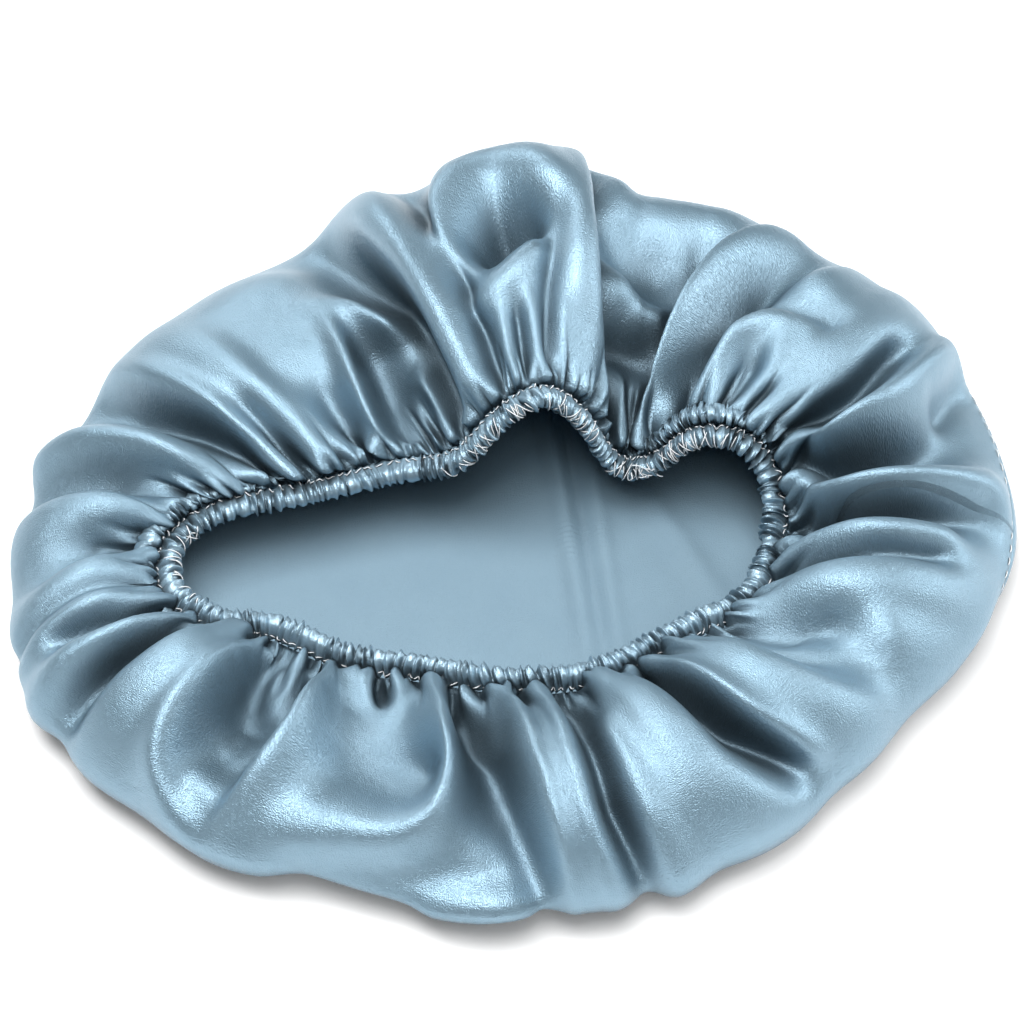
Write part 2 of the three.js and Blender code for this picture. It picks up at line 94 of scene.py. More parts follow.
# The skirt's ridges and creases. Each follows marks of (station, share of the way from the casing to the
# table, height in mm), with creases below zero. width is how broad its top or bottom is in mm. lean pushes a
# ridge to the left (positive) or right (negative) seen from outside, so that it hangs over its neighbour.
FOLDS = [
    # marks, width, lean
    # left end
    ([(12.45, 0.05, -3), (12.4, 0.3, -9), (12.45, 0.6, -5)], 8, 0),
    ([(12.65, 0.03, 3), (12.75, 0.3, 4), (12.8, 0.6, 3)], 12, 0),
    ([(13.1, 0.03, -4), (13.3, 0.25, -9), (13.45, 0.42, -4)], 9, 0),
    ([(13.6, 0.02, 4), (13.65, 0.18, 5), (13.75, 0.4, 4), (13.85, 0.62, 3)], 9, 0),
    ([(13.9, 0.03, -3), (13.95, 0.2, -2), (13.98, 0.45, -2), (13.98, 0.64, -5)], 3, 0),
    ([(14.25, 0.03, 4), (14.15, 0.3, 6), (14.12, 0.5, 5), (14.18, 0.66, 4)], 6, 0),
    ([(14.55, 0.04, -5), (14.42, 0.25, -8), (14.27, 0.45, -5)], 4, 0),
    ([(14.85, 0.03, 5), (14.65, 0.25, 9), (14.48, 0.45, 10), (14.45, 0.66, 7)], 7, 2),
    ([(15.05, 0.03, -5), (14.88, 0.2, -9), (14.78, 0.4, -9), (14.78, 0.62, -4)], 4, 0),
    # front
    ([(15.5, 0.05, 6), (15.3, 0.25, 9), (15.15, 0.45, 7), (15.1, 0.68, 4)], 12, 0),
    ([(15.95, 0.06, 5), (15.68, 0.27, 9), (15.58, 0.45, 9), (15.66, 0.6, 9), (15.95, 0.71, 8),
      (16.25, 0.76, 8), (16.5, 0.81, 6)], 6, 0),
    ([(16.12, 0.04, -5), (16.15, 0.2, -13), (16.2, 0.36, -15), (16.1, 0.5, -8)], 12, 0),
    ([(16.42, 0.03, 3), (16.3, 0.13, 0), (16.36, 0.23, -4), (16.5, 0.16, -1), (16.58, 0.04, 3)], 2.5, 0),
    ([(16.0, 0.62, 2), (16.15, 0.67, 3)], 8, 0),
    ([(16.85, 0.04, -6), (16.76, 0.18, -11), (16.52, 0.38, -11), (16.27, 0.54, -8)], 4, 0),
    ([(17.05, 0.0, 5), (16.97, 0.15, 9), (16.78, 0.38, 10), (16.5, 0.56, 9), (16.28, 0.72, 6)], 5, -3),
    ([(17.3, 0.18, -5), (17.45, 0.35, -11), (17.9, 0.4, -10)], 14, 0),
    ([(17.3, 0.02, 5), (17.38, 0.13, 2), (17.58, 0.18, 0), (17.74, 0.12, 2), (17.8, 0.03, 4)], 2.5, 0),
    ([(17.55, 0.02, -5), (17.56, 0.1, -5)], 2.5, 0),
    ([(16.65, 0.66, 5), (17.1, 0.62, 5), (17.6, 0.6, 5), (17.97, 0.52, 6), (18.17, 0.38, 8), (18.17, 0.2, 8),
      (18.08, 0.04, 5)], 6, 0),
    ([(16.95, 0.8, -3), (17.3, 0.75, -3), (18.0, 0.7, -5), (18.45, 0.68, -6)], 7, 0),
    ([(17.9, 0.8, 4), (18.4, 0.76, 7), (18.85, 0.78, 5)], 6, 0),
    ([(18.4, 0.03, -5), (18.52, 0.2, -13), (18.62, 0.45, -14), (18.75, 0.66, -10), (18.85, 0.8, -2)], 8, 0),
    ([(18.7, 0.02, 3), (18.74, 0.12, 1), (18.8, 0.25, -5)], 2.5, 0),
    ([(18.97, 0.03, 5), (19.0, 0.3, 9), (19.08, 0.6, 10), (19.12, 0.74, 6), (19.1, 0.82, 3)], 6, 1),
    ([(19.22, 0.06, 0), (19.25, 0.18, 3), (19.27, 0.4, 8), (19.3, 0.65, 8), (19.3, 0.8, 3)], 8, 0),
    ([(19.5, 0.03, 5), (19.48, 0.3, 9), (19.46, 0.6, 10), (19.55, 0.74, 6), (19.6, 0.82, 3)], 6, -2),
    ([(19.8, 0.03, -6), (19.75, 0.25, -10), (19.68, 0.5, -11), (19.8, 0.68, -7), (19.87, 0.8, -1)], 4, 0),
    ([(19.95, 0.3, 5), (20.0, 0.55, 7), (20.12, 0.76, 7), (20.2, 0.83, 4)], 7, 0),
    ([(20.3, 0.04, 6), (20.38, 0.25, 9), (20.5, 0.5, 8), (20.8, 0.68, 8), (21.05, 0.8, 7)], 11, 0),
    ([(20.87, 0.03, -5), (20.9, 0.22, -12), (20.97, 0.42, -13), (21.2, 0.6, -8)], 4.5, 0),
    ([(21.1, 0.03, 4), (21.08, 0.2, 9), (21.15, 0.4, 10), (21.38, 0.6, 8)], 4.5, -2),
    ([(21.5, 0.1, 5), (21.48, 0.3, 8), (21.72, 0.6, 7)], 11, 0),
    ([(21.88, 0.03, -5), (21.82, 0.15, -8), (21.84, 0.3, -9), (22.0, 0.42, -6), (22.2, 0.5, -3)], 4, 0),
    ([(22.2, 0.08, -3), (22.3, 0.24, -9), (22.35, 0.36, -7)], 9, 0),
    ([(22.55, 0.52, 5), (22.7, 0.66, 4)], 9, 0),
    # right end
    ([(22.7, 0.03, 4), (22.85, 0.2, 7), (22.95, 0.4, 8), (23.05, 0.62, 6)], 12, 0),
    ([(23.3, 0.04, -4), (23.22, 0.25, -7), (23.32, 0.5, -5)], 3.5, 0),
    ([(23.65, 0.03, 4), (23.52, 0.15, 8), (23.46, 0.3, 9), (23.5, 0.48, 6)], 9, 1),
    ([(24.1, 0.03, -5), (23.85, 0.12, -9), (23.8, 0.25, -12), (23.85, 0.45, -10), (23.9, 0.6, -5)], 6, 0),
    ([(24.7, 0.03, 5), (24.32, 0.12, 9), (24.1, 0.22, 11), (24.06, 0.37, 10), (24.15, 0.6, 7)], 8, 1),
    ([(0.86, 0.03, -5), (0.52, 0.14, -12), (0.42, 0.28, -15), (0.48, 0.42, -11), (0.6, 0.52, -6)], 7, 0),
    ([(1.25, 0.02, 5), (0.95, 0.08, 10), (0.72, 0.18, 14), (0.78, 0.29, 14), (1.1, 0.45, 12),
      (1.35, 0.6, 9)], 7, 3),
    ([(1.1, 0.63, -5), (0.85, 0.52, -8)], 5, 0),
    # back right
    ([(1.5, 0.04, -6), (1.28, 0.13, -8), (1.22, 0.26, -5), (1.45, 0.42, -3)], 5, 0),
    ([(1.7, 0.04, 4), (1.65, 0.2, 6), (1.75, 0.4, 8), (1.9, 0.62, 5)], 14, 0),
    ([(2.0, 0.02, -4), (2.05, 0.1, -5)], 3, 0),
    ([(2.1, 0.0, 3), (2.25, 0.08, 4), (2.2, 0.15, 5), (2.35, 0.25, 5)], 4, 0),
    ([(2.75, 0.35, -5), (2.4, 0.35, -5), (2.05, 0.34, -2)], 4, 0),
    ([(2.55, 0.04, -4), (2.5, 0.15, -4)], 3.5, 0),
    ([(3.1, 0.06, 5), (2.95, 0.23, 8), (2.6, 0.28, 7), (2.2, 0.3, 6)], 5, 0),
    ([(2.4, 0.48, 5), (2.3, 0.64, 2)], 12, 0),
    ([(2.8, 0.56, -8), (3.05, 0.42, -15), (3.3, 0.27, -14), (3.5, 0.07, -6)], 7, 0),
    ([(3.1, 0.64, 5), (3.4, 0.47, 9), (3.63, 0.32, 11), (3.85, 0.18, 9), (4.1, 0.02, 5)], 4.5, 4),
    ([(3.85, 0.52, -8), (4.0, 0.42, -11), (3.98, 0.32, -9), (4.15, 0.2, -7), (4.35, 0.03, -5)], 5, 0),
    ([(5.1, 0.44, -5), (4.5, 0.44, -10), (4.2, 0.4, -9)], 9, 0),
    ([(5.2, 0.32, 6), (4.7, 0.3, 7), (4.3, 0.3, 5)], 7, 0),
    ([(5.1, 0.2, -7), (4.6, 0.2, -7)], 5, 0),
    ([(4.55, 0.02, 4), (4.55, 0.14, 4)], 3, 0),
    ([(4.75, 0.02, -4), (4.75, 0.12, -4)], 3, 0),
    ([(4.97, 0.02, 4), (4.97, 0.15, 4)], 3, 0),
    ([(5.3, 0.62, 9), (4.6, 0.62, 11), (3.9, 0.64, 9)], 11, 0),
    # peak
    ([(5.68, 0.6, -6), (5.62, 0.42, -11), (5.55, 0.22, -10), (5.38, 0.03, -5)], 5, 0),
    ([(6.25, 0.66, 5), (6.14, 0.45, 5), (6.08, 0.32, 5), (6.0, 0.2, 5), (5.8, 0.03, 4)], 7, -5),
    ([(7.5, 0.33, -21), (7.15, 0.35, -25), (6.85, 0.35, -21)], 8, 0),
    ([(8.05, 0.32, 4), (7.9, 0.44, 7), (7.5, 0.52, 7), (7.0, 0.54, 7), (6.6, 0.51, 8),
      (6.42, 0.43, 7)], 7, 0),
    ([(7.6, 0.66, 0), (7.0, 0.68, 0)], 8, 0),
    ([(7.95, 0.18, 4), (7.5, 0.19, 5), (7.1, 0.21, 6), (6.72, 0.25, 5)], 4.5, 0),
    ([(7.45, 0.02, 4), (7.4, 0.14, 4)], 3.5, 0),
    ([(7.2, 0.02, -4), (7.18, 0.13, -5)], 3, 0),
    ([(6.95, 0.02, 4), (6.95, 0.15, 4)], 3.5, 0),
    ([(6.7, 0.03, -5), (6.6, 0.12, -7), (6.5, 0.23, -8), (6.38, 0.34, -6)], 2.5, 0),
    ([(6.45, 0.02, 4), (6.4, 0.15, 4)], 3, 0),
    ([(8.0, 0.62, -6), (8.04, 0.45, -9), (7.98, 0.27, -10), (7.75, 0.04, -6)], 4, 0),
    # back left
    ([(8.45, 0.74, 8), (8.42, 0.5, 10), (8.28, 0.28, 10), (8.08, 0.02, 7)], 9, 0),
    ([(8.98, 0.66, -7), (8.86, 0.44, -11), (8.72, 0.27, -12), (8.62, 0.05, -6)], 5, 0),
    ([(9.65, 0.43, 5), (9.2, 0.38, 7), (8.9, 0.31, 6)], 5, 0),
    ([(8.85, 0.03, 4), (8.92, 0.16, 2)], 3.5, 0),
    ([(9.12, 0.03, -5), (9.05, 0.12, -5)], 3, 0),
    ([(9.55, 0.05, -5), (9.42, 0.16, -10), (9.3, 0.27, -9)], 7, 0),
    ([(9.88, 0.03, 5), (9.76, 0.17, 8), (9.63, 0.28, 7), (9.52, 0.38, 5)], 4.5, 0),
    ([(10.15, 0.04, -5), (10.1, 0.2, -2)], 5, 0),
    ([(10.2, 0.3, 2), (9.9, 0.55, 4)], 16, 0),
    ([(10.5, 0.02, 5), (10.6, 0.2, 7), (10.65, 0.4, 7), (10.7, 0.64, 5)], 9, 0),
    ([(10.82, 0.05, -3), (10.86, 0.25, -1)], 4, 0),
    ([(11.0, 0.04, 4), (11.05, 0.3, 6), (11.05, 0.5, 6), (11.0, 0.66, 5)], 7, 1),
    ([(11.15, 0.03, -5), (11.32, 0.3, -11), (11.4, 0.5, -11), (11.38, 0.66, -7)], 6, 0),
    ([(11.6, 0.03, 4), (11.8, 0.22, 8), (11.92, 0.45, 8), (12.02, 0.66, 7)], 6, 1),
]
FOLD_REACH = 45.0  # mm over which a fold is felt
RELIEF = 1.1  # scale of all the folds' heights
RIM_CALM = 0.25  # how much of the folds' height is gone at the rim
SLACK = 0.15  # weight of the smooth form itself against the folds
BLUNT = 1.5  # mm, how far a fold's top or bottom is rounded

# The gathers that the elastic makes in the skirt, coarse ones first.
# pitch in mm, height in mm, how far they reach from the stitching in mm
GATHERS = [(9.0, 3.2, 22.0), (4.2, 2.3, 10.0)]

CASING_COLUMNS, CASING_ROWS = 2400, 24
CASING_GIRTH = 26  # of the casing's cloth, once round its section
PUCKER_PITCH = 2.9
PUCKER_DEPTH = 1.6
STITCH_ROW = 9  # of the casing's section, on the upper face by the stitched edge

# Stretches, in stations, where the skirt rolls up beside the casing as a second ruched row.
ROLLS = [(11.4, 15.2), (1.4, 4.4)]
ROLL_COLUMNS = 700
ROLL_LENGTH = 200  # of a roll's cloth
ROLL_GIRTH = 22
ROLL_WIDTH = 7.0
ROLL_DEPTH = 5.0
ROLL_RISE = 1.8  # of the roll's middle above the casing's

THREAD_RADIUS = 0.19
STITCH_PITCH = 2.6
# Stretches, in stations, where the overlocked edge shows, and how many loops of thread stand out of each.
FRAYS = [(2.0, 5.2, 34), (5.6, 9.2, 40), (12.6, 14.6, 14)]
TANGLE_AT = 4.15  # station of the tangled thread ends
TANGLE_ENDS = 9
LOOSE_END_AT = 13.0
SEAM_SHOWS = (-2.5, 3.5)  # stations between which the seam faces up
SEAM_MARGIN = 0.012  # share of the profile between the seam and its stitches

# Creases pressed into the crown where it was folded in its packet.
# from x, y | over x, y | to x, y | height, half width in mm
CREASES = [
    (9, 70, 15, 22, 23, -50, 3.0, 2.6),
    (14, 70, 20, 22, 28, -50, -1.4, 2.6),
    (24, 60, 27, 12, 33, -50, 2.4, 2.4),
    (42, 24, 54, 0, 66, -26, 2.2, 3.5),
    (-60, 10, -20, 4, 10, -12, 0.5, 9.0),
    (-90, -30, -40, -22, 0, -34, 0.5, 8.0),
]
CREASE_DEPTH = 1.4  # of the deepest crease below the crown's floor
CROWN_COLUMNS, CROWN_RINGS = 400, 96
CROWN_RINGS_SPAN = (0.98, 0.015)  # of the crown's edge, from its outermost ring to its innermost

PAINTED_SHADE_DARKEST = 0.22  # painted shade: how dark the colour gets where the cloth is folded in on itself

CAMERA_TARGET = Vector((-0.0015, 0.0036, 0.015))
CAMERA_DISTANCE = 0.92
CAMERA_ELEVATION = 47.0


def unit(vectors):
    return vectors / np.linalg.norm(vectors, axis=-1, keepdims=True)


def around(columns, place):
    """A closed smooth curve through some of the table's columns, at places counted in stations."""
    place = np.mod(place, COUNT)
    first = np.floor(place).astype(int)
    f = (place - first)[..., None]
    a, b, c, d = (columns[(first + k) % COUNT] for k in (-1, 0, 1, 2))
    square, cube = 2 * a - 5 * b + 4 * c - d, 3 * b - a - 3 * c + d
    return 0.5 * (2 * b + (c - a) * f + square * f**2 + cube * f**3)


CASING_LINE = STATIONS[:, 0:3] + STATION_OFFSET
RIM_LINE = np.column_stack([STATIONS[:, 5:7], np.full(COUNT, RIM_HEIGHT)]) + STATION_OFFSET
TILTS, CRESTS, SEAMS = STATIONS[:, 3:4], STATIONS[:, 4:5], STATIONS[:, 7:8]


def casing_axes(place):
    """Unit vectors along the casing, across it to its free edge, and through it."""
    along = unit(around(CASING_LINE, place + 0.02) - around(CASING_LINE, place - 0.02))
    inward = around(CASING_LINE, place) - around(RIM_LINE, place)
    inward[..., 2] = 0
    tilt = np.radians(around(TILTS, place))
    across = unit(inward) * np.cos(tilt) + UP * np.sin(tilt)
    across = unit(across - along * (across * along).sum(-1, keepdims=True))
    return along, across, np.cross(along, across)


def profiles(place, shares):
    """Points of the smooth form, shares of the way from the casing to the table at each place."""
    _, across, _ = casing_axes(place)
    start = around(CASING_LINE, place) - across * (CASING_WIDTH / 2 + CASING_GAP)
    rim = around(RIM_LINE, place)
    high = around(CRESTS, place)[..., 0]
    out = rim - start
    out[..., 2] = 0
    crest = start + (rim - start) * CREST_AT
    crest[..., 2] = high
    shoulder = start + (rim - start) * SHOULDER_AT
    shoulder[..., 2] = high * SHOULDER_HEIGHT
    table = rim - unit(out) * TUCK
    table[..., 2] = 0
    marks = [start, crest, shoulder, rim, table]
    marks = [2 * start - crest] + marks + [2 * table - rim]
    points = []
    for p0, p1, p2, p3 in zip(marks, marks[1:], marks[2:], marks[3:]):
        g0, g1, g2 = (np.linalg.norm(q - p, axis=-1, keepdims=True) ** 0.5
                      for p, q in ((p0, p1), (p1, p2), (p2, p3)))
        m1 = ((p1 - p0) / g0 - (p2 - p0) / (g0 + g1) + (p2 - p1) / g1) * g1
        m2 = ((p2 - p1) / g1 - (p3 - p1) / (g1 + g2) + (p3 - p2) / g2) * g1
        for f in np.arange(0, 1, 1 / 24):
            points.append((2 * f**3 - 3 * f**2 + 1) * p1 + (f**3 - 2 * f**2 + f) * m1
                          + (3 * f**2 - 2 * f**3) * p2 + (f**3 - f**2) * m2)
    points = np.stack(points + [table], 1)
    steps = np.linalg.norm(np.diff(points, axis=1), axis=-1)
    run = np.concatenate([np.zeros((len(place), 1)), np.cumsum(steps, axis=1)], 1)
    result = np.empty((len(place), shares.shape[1], 3))
    for i in range(len(place)):
        for axis in range(3):
            result[i, :, axis] = np.interp(shares[i] * run[i, -1], run[i], points[i, :, axis])
    return result


def grid_normals(grid):
    """Outward unit normals of a grid that closes round its first axis."""
    round_ = np.roll(grid, -1, 0) - np.roll(grid, 1, 0)
    down = np.gradient(grid, axis=1)
    return unit(np.cross(down, round_))


def smoothstep(value, low, high):
    f = np.clip((value - low) / (high - low), 0, 1)
    return f * f * (3 - 2 * f)


def fold_path(marks, base_at, count=40):
    """A fold's path as points on the smooth form, and its height at each."""
    marks = np.array(marks, float)
    steps = np.linspace(0, len(marks) - 1, count)
    u, t, high = (np.interp(steps, range(len(marks)), marks[:, k]) for k in range(3))
    for _ in range(4):
        for values in (u, t, high):
            values[1:-1] = (values[:-2] + 2 * values[1:-1] + values[2:]) / 4
    return base_at(u, t), high


def relief(grid, normals, base_at):
    """How far the folds move each point: every point takes its height from the folds near it."""
    flat, up = grid.reshape(-1, 3), normals.reshape(-1, 3)
    heights, weights = np.zeros(len(flat)), np.full(len(flat), SLACK)
    slide = np.zeros_like(flat)
    for marks, width, lean in FOLDS:
        points, high = fold_path(marks, base_at)
        near = ((flat > points.min(0) - FOLD_REACH) & (flat < points.max(0) + FOLD_REACH)).all(1)
        near = np.nonzero(near)[0]
        gap = flat[near, None] - points[None]
        squares = (gap**2).sum(-1)
        nearest = squares.argmin(1)
        away = np.sqrt(squares[np.arange(len(near)), nearest])
        high = high[nearest]
        closeness = width / np.hypot(away, BLUNT)
        fade = np.clip(1 - away / FOLD_REACH, 0, 1) ** 2
        strength = np.where(high < 0, closeness**1.7, closeness**2) * fade
        heights[near] += strength * high
        weights[near] += strength
        if lean:
            along = unit(np.gradient(points, axis=0))
            if marks[0][1] > marks[-1][1]:
                along = -along
            side = unit(np.cross(up[near], along[nearest]))
            slide[near] += side * (lean * np.exp(-((away / width) ** 2)))[:, None]
    return (up * (heights / weights)[:, None] + slide).reshape(grid.shape)


def blurred(values, passes):
    for _ in range(passes):
        values = (np.roll(values, 1, 0) + 2 * values + np.roll(values, -1, 0)) / 4
        inner = (values[:, :-2] + 2 * values[:, 1:-1] + values[:, 2:]) / 4
        values = np.concatenate([values[:, :1], inner, values[:, -1:]], 1)
    return values


def resampled(grid, columns, rows):
    """The same surface on another grid, by straight lines between its points."""
    u = np.arange(columns) * grid.shape[0] / columns
    i = np.floor(u).astype(int)
    f = (u - i).reshape(-1, *[1] * (grid.ndim - 1))
    grid = grid[i] * (1 - f) + grid[(i + 1) % grid.shape[0]] * f
    v = np.linspace(0, grid.shape[1] - 1, rows)
    j = np.minimum(np.floor(v).astype(int), grid.shape[1] - 2)
    g = (v - j).reshape(1, -1, *[1] * (grid.ndim - 2))
    return grid[:, j] * (1 - g) + grid[:, j + 1] * g


def skirt_grid():
    place = np.arange(AROUND) * COUNT / AROUND
    seam = around(SEAMS, place)
    down = np.linspace(0, 1, DOWN)
    shares = seam * (0.8 * down + 0.2 * down**2)
    grid = profiles(place, shares)
    normals = grid_normals(grid)

    def base_at(u, t):
        return np.array([profiles(np.array([a]), np.array([[b]]))[0, 0] for a, b in zip(u, t)])

    coarse = resampled(grid, AROUND // 2, DOWN * 2 // 3)
    shift = resampled(relief(coarse, grid_normals(coarse), base_at), AROUND, DOWN)
    off_casing = smoothstep(shares, 0, 0.05)
    off_seam = 1 - smoothstep(down, 0.94, 1)
    calm = 1 - RIM_CALM * smoothstep(shares, 0.5, 0.78)
    hold = off_casing * off_seam * calm
    cloth = grid + blurred(shift * hold[..., None] * RELIEF, 2)
    cloth[..., 2] = np.maximum(cloth[..., 2], FLOOR_GAP)
    return cloth + ruffles(cloth)


def ruffles(cloth):
    """The gathers beside the stitching."""
    rng = np.random.default_rng(3)
    line = cloth[:, 0]
    run = np.concatenate([[0], np.cumsum(np.linalg.norm(np.roll(line, -1, 0) - line, axis=1))])
    away = np.linalg.norm(cloth - line[:, None], axis=-1)
    lift = np.zeros_like(away)
    for pitch, height, reach in GATHERS:
        phase, size = puckers(rng, run, pitch)
        wave = np.abs(np.sin(phase[:-1] * math.pi)) ** 0.8 * 2 - 1.1
        fade = (1 - smoothstep(away, 1, reach * size[:-1, None])) * smoothstep(away, 0, 1.5)
        lift += height * wave[:, None] * size[:-1, None] * fade
    return grid_normals(blurred(cloth, 6)) * lift[..., None]


def mesh_object(name, vertices, faces, materials=(), cloth_mm=None):
    """A smooth mesh from points in mm. cloth_mm is each point's place on the flat cloth, for the weave."""
    mesh = bpy.data.meshes.new(name)
    mesh.from_pydata([tuple(v) for v in np.asarray(vertices) * MM], [], faces)
    if cloth_mm is not None:
        corners = np.empty(len(mesh.loops), np.int32)
        mesh.loops.foreach_get("vertex_index", corners)
        places = cloth_mm[corners].astype(np.float32)
        mesh.uv_layers.new(name="cloth").data.foreach_set("uv", places.ravel())
    for material in materials:
        mesh.materials.append(material)
    mesh.polygons.foreach_set("use_smooth", [True] * len(mesh.polygons))
    piece = bpy.data.objects.new(name, mesh)
    bpy.context.scene.collection.objects.link(piece)
    return piece


def ring_faces(columns, rows):
    """Quads of a grid that closes round its first axis, facing out."""
    c, r = np.meshgrid(np.arange(columns), np.arange(rows - 1), indexing="ij")
    here, next_ = c * rows + r, (c + 1) % columns * rows + r
    return np.stack([here, here + 1, next_ + 1, next_], -1).reshape(-1, 4).tolist()


# ---------------------------------------------------------------------------------------- materials
def node_material(name):
    material = bpy.data.materials.new(name)
    material.use_nodes = True
    nodes, links = material.node_tree.nodes, material.node_tree.links
    return material, nodes, links, nodes["Principled BSDF"]


def input_map(nodes, links, scale):
    """The cloth's own coordinates in mm, stretched by scale."""
    where = nodes.new("ShaderNodeTexCoord")
    mapping = nodes.new("ShaderNodeMapping")
    mapping.inputs["Scale"].default_value = scale
    links.new(where.outputs["UV"], mapping.inputs["Vector"])
    return mapping.outputs["Vector"]


def noise(nodes, links, scale, stretch, detail=2.0):
    texture = nodes.new("ShaderNodeTexNoise")
    texture.inputs["Scale"].default_value = scale
    texture.inputs["Detail"].default_value = detail
    links.new(input_map(nodes, links, stretch), texture.inputs["Vector"])
    return texture.outputs["Fac"]


def ranged(nodes, links, value, low, high, source=(0.3, 0.7)):
    remap = nodes.new("ShaderNodeMapRange")
    remap.inputs["From Min"].default_value, remap.inputs["From Max"].default_value = source
    remap.inputs["To Min"].default_value = low
    remap.inputs["To Max"].default_value = high
    links.new(value, remap.inputs["Value"])
    return remap.outputs["Result"]


def bump(nodes, links, height, distance, under=None):
    node = nodes.new("ShaderNodeBump")
    node.inputs["Distance"].default_value = distance
    links.new(height, node.inputs["Height"])
    if under is not None:
        links.new(under, node.inputs["Normal"])
    return node.outputs["Normal"]


def painted_pocket_shade(nodes, links, colour, reach):
    """Painted shade: the colour, darker where the cloth is folded in on itself."""
    hollow = nodes.new("ShaderNodeAmbientOcclusion")
    hollow.inputs["Distance"].default_value = reach
    hollow.samples = 8
    darker = nodes.new("ShaderNodeMix")
    darker.data_type = "RGBA"
    darker.blend_type = "MULTIPLY"
    darker.inputs["Factor"].default_value = 1
    links.new(colour, darker.inputs["A"])
    shade = ranged(nodes, links, hollow.outputs["AO"], PAINTED_SHADE_DARKEST, 1, (0.35, 0.9))
    links.new(shade, darker.inputs["B"])
    return darker.outputs["Result"]


def satin(name, dark, light, metallic, roughness, grain, reach):
    """Satin weave: threads along and across the cloth, with a slub now and then, and painted shade in the
    folds. grain is how deep the weave is and reach how far the painted shade in the folds spreads, both in
    metres."""
    material, nodes, links, shader = node_material(name)
    shader.inputs["Metallic"].default_value = metallic
    shader.inputs["Anisotropic"].default_value = 0.6 * metallic
    patches = noise(nodes, links, 0.05, (1, 1, 1), 4)
    mix = nodes.new("ShaderNodeMix")
    mix.data_type = "RGBA"
    mix.inputs["A"].default_value = (*dark, 1)
    mix.inputs["B"].default_value = (*light, 1)
    links.new(patches, mix.inputs["Factor"])
    # the base colour carries painted shade, darker in the folds
    links.new(painted_pocket_shade(nodes, links, mix.outputs["Result"], reach), shader.inputs["Base Color"])
    slubs = noise(nodes, links, 1.0, (0.35, 2.2, 1), 3)
    floats = noise(nodes, links, 1.0, (1.6, 0.5, 1), 2)
    links.new(ranged(nodes, links, slubs, roughness - 0.06, roughness + 0.06), shader.inputs["Roughness"])
    soft = noise(nodes, links, 0.12, (1, 1, 1), 3)
    normal = bump(nodes, links, soft, 0.0003)
    speckle = noise(nodes, links, 2.0, (1, 1.2, 1), 1)
    normal = bump(nodes, links, speckle, grain * 2, normal)
    normal = bump(nodes, links, slubs, grain, normal)
    links.new(bump(nodes, links, floats, grain, normal), shader.inputs["Normal"])
    return material


# Each material's reach is how far its painted shade in the folds spreads.
SATIN = satin("satin_face", dark=(0.238, 0.375, 0.475), light=(0.285, 0.422, 0.522),
              metallic=0.65, roughness=0.42, grain=0.0001, reach=0.03)
# The casing's satin is the same cloth as the skirt's, painted lighter: its lighter colour is painted light,
# standing in for the brighter sheen on its ruches.
RUCHED = satin("satin_ruched", dark=(0.3, 0.45, 0.56), light=(0.38, 0.53, 0.63),
               metallic=0.65, roughness=0.36, grain=0.00006, reach=0.005)
THREAD = satin("thread", dark=(0.8, 0.84, 0.86), light=(0.9, 0.93, 0.95),
               metallic=0.0, roughness=0.6, grain=0.00005, reach=0.002)
REVERSE = satin("satin_reverse", dark=(0.182, 0.283, 0.36), light=(0.21, 0.317, 0.393),
                metallic=0.0, roughness=0.75, grain=0.0001, reach=0.004)


# ---------------------------------------------------------------------------------------- pieces
def flat_places(columns, rows, length, width):
    """Where a grid's points lie on the flat cloth, in mm."""
    along = np.arange(columns) / columns * length
    across = np.arange(rows) / rows * width
    return np.stack(np.meshgrid(along, across, indexing="ij"), -1).reshape(-1, 2)


def thicken(piece):
    """Gives a sheet its thickness, with the second material on its inner face."""
    solid = piece.modifiers.new("cloth", "SOLIDIFY")
    solid.thickness = CLOTH * MM
    solid.offset = -1
    solid.material_offset = 1


def make_skirt():
    grid = skirt_grid()
    faces = ring_faces(AROUND, DOWN)
    cloth_mm = flat_places(AROUND, DOWN, SKIRT_LENGTH, SKIRT_WIDTH)
    piece = mesh_object("skirt", grid.reshape(-1, 3), faces, [SATIN, REVERSE], cloth_mm)
    thicken(piece)
    return piece


def puckers(rng, run, mean_pitch):
    """The ruching's phase along a closed line: one turn for each pucker, of uneven lengths."""
    length = run[-1]
    count = int(round(length / mean_pitch))
    edges = np.cumsum(rng.uniform(0.5, 1.7, count))
    edges = np.concatenate([[0], edges]) * length / edges[-1]
    heights = rng.uniform(0.55, 1.35, count)
    phase = np.interp(run, edges, np.arange(count + 1))
    return phase, heights[np.floor(phase).astype(int) % count]


def casing_line(columns):
    """Places round the casing, its centre line, its axes, and the distance run along it."""
    place = np.arange(columns) * COUNT / columns
    centre = around(CASING_LINE, place)
    steps = np.linalg.norm(np.roll(centre, -1, 0) - centre, axis=1)
    run = np.concatenate([[0], np.cumsum(steps)])
    return place, centre, casing_axes(place), run


